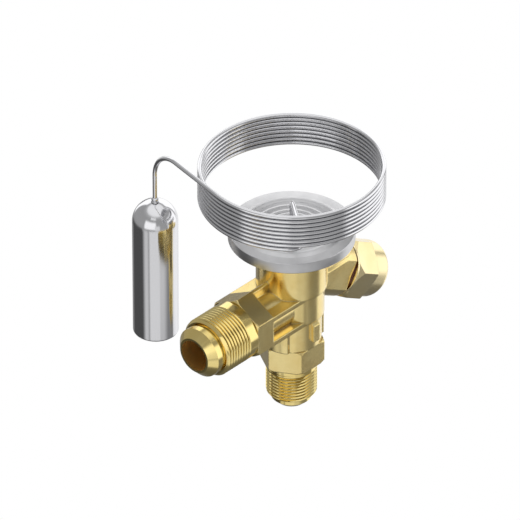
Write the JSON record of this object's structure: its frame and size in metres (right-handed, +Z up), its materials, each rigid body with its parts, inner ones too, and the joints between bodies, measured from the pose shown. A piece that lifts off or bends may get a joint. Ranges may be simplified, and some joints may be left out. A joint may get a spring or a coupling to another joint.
{
  "type": "thermostatic expansion valve",
  "caption": "Brass thermostatic expansion valve with flare ports, a steel diaphragm element, a coiled capillary tube, a sensing bulb and a hexagonal seal cap.",
  "frame": {"origin": "centre of the inlet port's end face", "axes": "+Z up the neck to the diaphragm element, -X out of the outlet port, +X towards the seal cap, +Y towards the sensing bulb"},
  "size_m": [0.0815, 0.0726, 0.088],
  "materials": {
    "forged_brass": "forged surface with machined ports",
    "cap_brass": "machined",
    "steel_element": "fine turned",
    "steel_tube": "drawn, smooth",
    "bulb_steel": "polished",
    "gasket": "dark red sealing ring",
    "black_rubber": "O-ring",
    "white_seal": "fluoropolymer seal",
    "gear_steel": "machined",
    "spring_steel": "drawn wire",
    "turned_brass": "turned"
  },
  "bodies": {
    "valve": {"valve_body": "forged_brass", "element_housing": "steel_element", "diaphragm": "steel_element", "element_cover": "steel_element", "element_collar": "steel_tube", "capillary_tube": "steel_tube", "bulb_collar": "steel_tube", "sensing_bulb": "bulb_steel", "packing_ring": "white_seal", "packing_washer": "turned_brass", "spindle_bush": "turned_brass", "spindle_o_ring": "black_rubber", "orifice_seal": "white_seal", "orifice_body": "turned_brass", "pin_spring": "spring_steel", "spring_retainer": "turned_brass", "strainer_frame": "turned_brass", "strainer_screen": "gear_steel"},
    "valve_stem": {"thrust_plate": "gear_steel", "push_rod": "gear_steel", "metering_pin": "gear_steel"},
    "spring_seat": {"spring_seat": "turned_brass", "superheat_spring": "spring_steel"},
    "adjusting_ring": {"adjusting_ring": "gear_steel"},
    "setting_spindle": {"setting_spindle": "gear_steel"},
    "cap_gasket": {"cap_gasket": "gasket"},
    "seal_cap": {"seal_cap": "cap_brass"}
  },
  "joints": [
    {"name": "stem_stroke", "type": "slide", "parent": "valve", "child": "valve_stem", "axis": [0, 0, 1], "range_m": [-0.0008, 0], "stiffness_N_per_m": 20000, "springref_m": 0.002, "deforming": ["superheat_spring", "pin_spring"]},
    {"name": "spindle_turn", "type": "hinge", "parent": "valve", "child": "setting_spindle", "pos_m": [0.01845, 0, 0.04015], "axis": [0.866, 0, -0.5], "range_deg": [-1080, 1080]},
    {"name": "ring_turn", "type": "hinge", "parent": "valve", "child": "adjusting_ring", "pos_m": [0, 0, 0.052], "axis": [0, 0, 1], "range_deg": [-380, 380]},
    {"name": "seat_travel", "type": "slide", "parent": "valve", "child": "spring_seat", "axis": [0, 0, 1], "range_m": [-0.00078, 0.00078]},
    {"name": "cap_travel", "type": "slide", "parent": "valve", "child": "cap_gasket", "axis": [0.866, 0, -0.5], "range_m": [0, 0.006]},
    {"name": "cap_turn", "type": "hinge", "parent": "cap_gasket", "child": "seal_cap", "pos_m": [0.02598, 0, 0.0358], "axis": [0.866, 0, -0.5], "range_deg": [0, 2160]}
  ],
  "couplings": [
    {"joint": "spindle_turn", "follows": "seat_travel", "rad_per_m": -24086},
    {"joint": "ring_turn", "follows": "seat_travel", "rad_per_m": 8377.6},
    {"joint": "cap_turn", "follows": "cap_travel", "rad_per_m": 6283.2}
  ]
}
